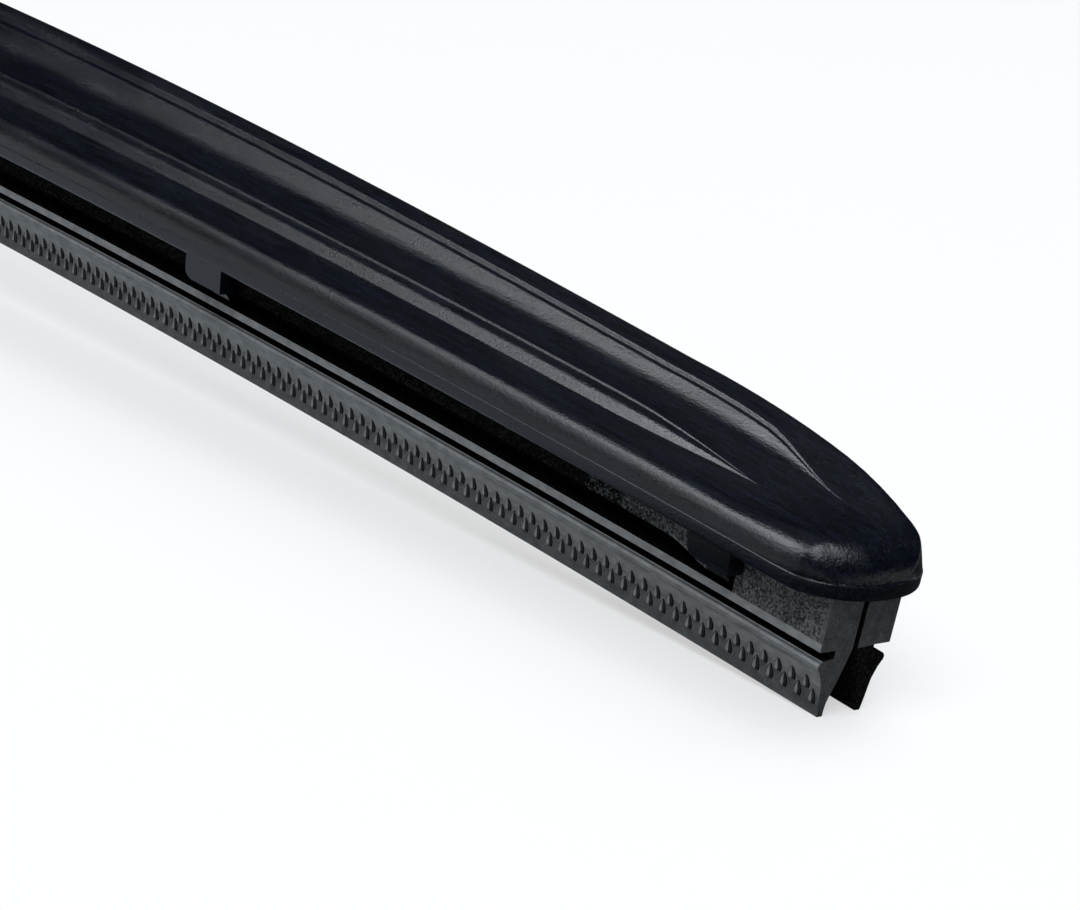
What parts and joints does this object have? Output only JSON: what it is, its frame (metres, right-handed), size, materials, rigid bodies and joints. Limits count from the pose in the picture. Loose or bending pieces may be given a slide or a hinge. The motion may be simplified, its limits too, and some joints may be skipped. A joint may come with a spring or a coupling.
{
  "type": "wiper blade",
  "caption": "Bowed flat car wiper blade: ridged moulded covers with claws over a nubbed twin-lip rubber on spring rails, with a pivoting arm adapter at the middle.",
  "frame": {"origin": "middle of the blade's footprint, on the plane that the lips' ends rest on", "axes": "+X along the blade to the pictured tip, +Y across it to the high side of the cover, +Z away from the glass"},
  "size_m": [0.5548, 0.021, 0.0429],
  "materials": {
    "rubber": "matte",
    "spring_steel": "rolled",
    "cover_moulding": "satin gloss",
    "bridge_casting": "satin black",
    "rivet_steel": "plated",
    "sleeve_plastic": "natural",
    "adapter_plastic": "fine texture"
  },
  "bodies": {
    "blade": {"wiping_rubber": "rubber", "spring_rail_near": "spring_steel", "spring_rail_far": "spring_steel", "cover_right": "cover_moulding", "cover_left": "cover_moulding", "bridge": "bridge_casting", "pivot_rivet": "rivet_steel", "rivet_sleeve": "sleeve_plastic", "bridge_shroud": "cover_moulding"},
    "adapter": {"arm_adapter": "adapter_plastic"}
  },
  "joints": [
    {"name": "adapter_pivot", "type": "hinge", "parent": "blade", "child": "adapter", "pos_m": [0, 0, 0.033], "axis": [0, -1, 0], "range_deg": [-16, 28]}
  ]
}
